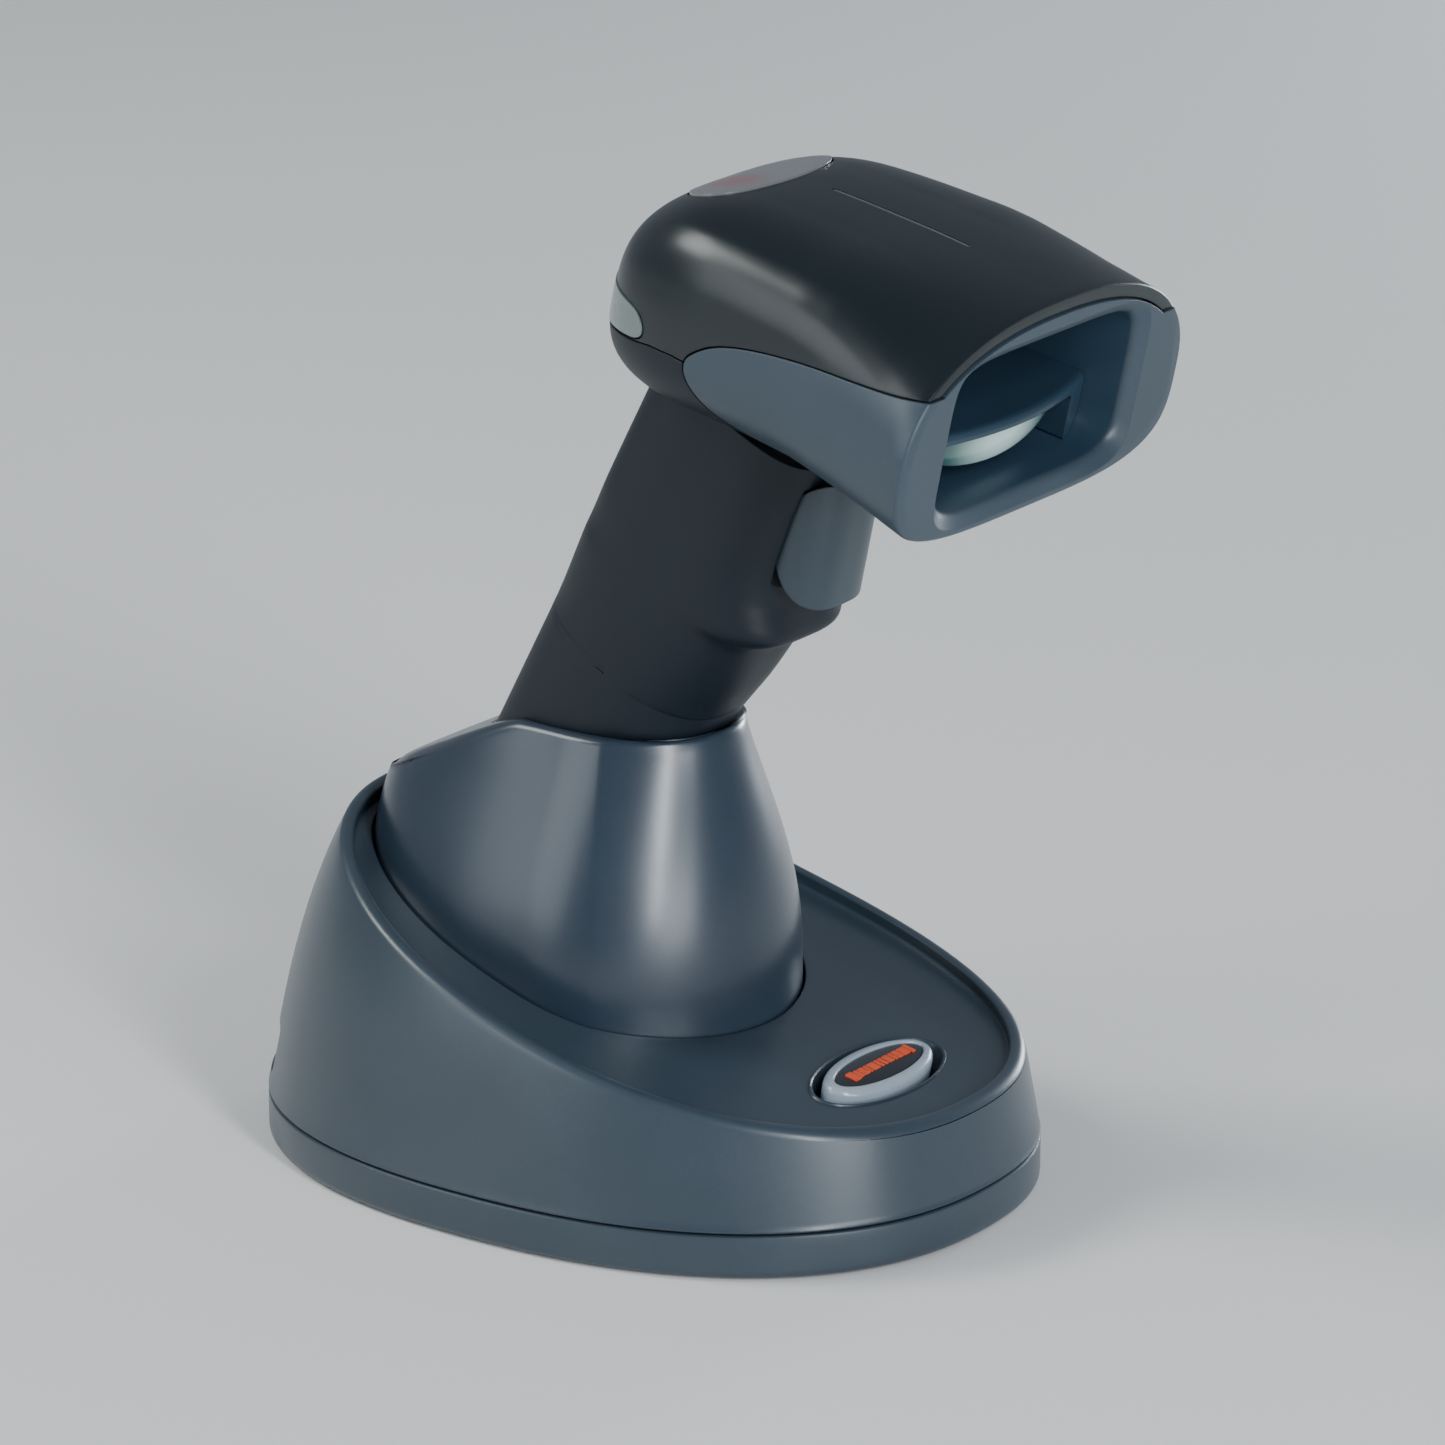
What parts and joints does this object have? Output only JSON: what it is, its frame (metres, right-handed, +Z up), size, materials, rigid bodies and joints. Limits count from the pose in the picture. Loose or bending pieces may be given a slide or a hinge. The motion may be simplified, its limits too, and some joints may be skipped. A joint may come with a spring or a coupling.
{
  "type": "handheld barcode scanner",
  "caption": "Cordless pistol-grip barcode scanner standing in its sloped charging cradle, with a trigger, a recessed scan window and a page button.",
  "frame": {"origin": "centre of the overall box, on the surface the feet stand on", "axes": "+Z up; the scanner's nose points to -Y; +X to the scanner's left-right width"},
  "size_m": [0.101, 0.1436, 0.1677],
  "materials": {
    "cradle": "satin",
    "cup": "satin",
    "cover": "satin gloss",
    "bezel": "fine matte",
    "housing": "fine matte",
    "trigger": "satin",
    "dark": "matte",
    "button": "satin",
    "accent": "printed colour",
    "lens_grey": "frosted",
    "lens_pale": "frosted",
    "glass": "polished",
    "rubber": "matte",
    "steel": "machined",
    "gold": "plated",
    "board": "solder mask",
    "cell": "shrink wrap"
  },
  "bodies": {
    "base": {"base_shell": "cradle", "cradle_cup": "cup", "base_bottom_plate": "cradle", "rubber_foot_1": "rubber", "rubber_foot_2": "rubber", "rubber_foot_3": "rubber", "rubber_foot_4": "rubber", "base_screw_1": "steel", "base_screw_2": "steel", "base_screw_3": "steel", "base_screw_4": "steel", "base_circuit_board": "board", "base_radio_module": "steel", "base_charger_coil": "dark", "data_jack": "dark", "power_jack": "dark", "contact_block": "dark", "button_well": "dark", "page_switch": "dark"},
    "contact_pins": {"contact_pin_1": "gold", "contact_pin_2": "gold", "contact_pin_3": "gold", "contact_pin_4": "gold"},
    "page_button": {"page_button": "button", "page_button_inlay": "dark", "page_button_mark": "accent"},
    "scanner": {"head_cover": "cover", "nose_bezel": "bezel", "window_hood": "bezel", "handle_housing": "housing", "battery_door": "housing", "imager_chassis": "dark", "lens_barrel": "dark", "beeper": "dark", "trigger_switch": "dark", "status_lens": "lens_grey", "rear_lens": "lens_pale", "illumination_led_left": "lens_pale", "illumination_led_right": "lens_pale", "status_led": "lens_pale", "scan_window": "glass", "imaging_lens": "glass", "aimer_lens": "glass", "scanner_radio_module": "steel", "trigger_pin": "steel", "battery_door_screw": "steel", "charge_pad_1": "gold", "charge_pad_2": "gold", "charge_pad_3": "gold", "charge_pad_4": "gold", "main_board": "board", "handle_board": "board", "battery_cell": "cell"},
    "trigger": {"trigger": "trigger"}
  },
  "joints": [
    {"name": "scanner_lift", "type": "slide", "parent": "base", "child": "scanner", "axis": [0, -0.4648, 0.8854], "range_m": [0, 0.075]},
    {"name": "trigger_press", "type": "hinge", "parent": "scanner", "child": "trigger", "pos_m": [0, -0.02823, 0.12375], "axis": [1, 0, 0], "range_deg": [0, 4], "stiffness_Nm_per_rad": 0.8, "springref_deg": -3.44},
    {"name": "page_button_press", "type": "slide", "parent": "base", "child": "page_button", "axis": [0, -0.1908, 0.9816], "range_m": [-0.001, 0], "stiffness_N_per_m": 300, "springref_m": 0.001},
    {"name": "contact_pins_press", "type": "slide", "parent": "base", "child": "contact_pins", "axis": [0, -0.4648, 0.8854], "range_m": [-0.0006, 0], "stiffness_N_per_m": 200, "springref_m": 0.001}
  ]
}
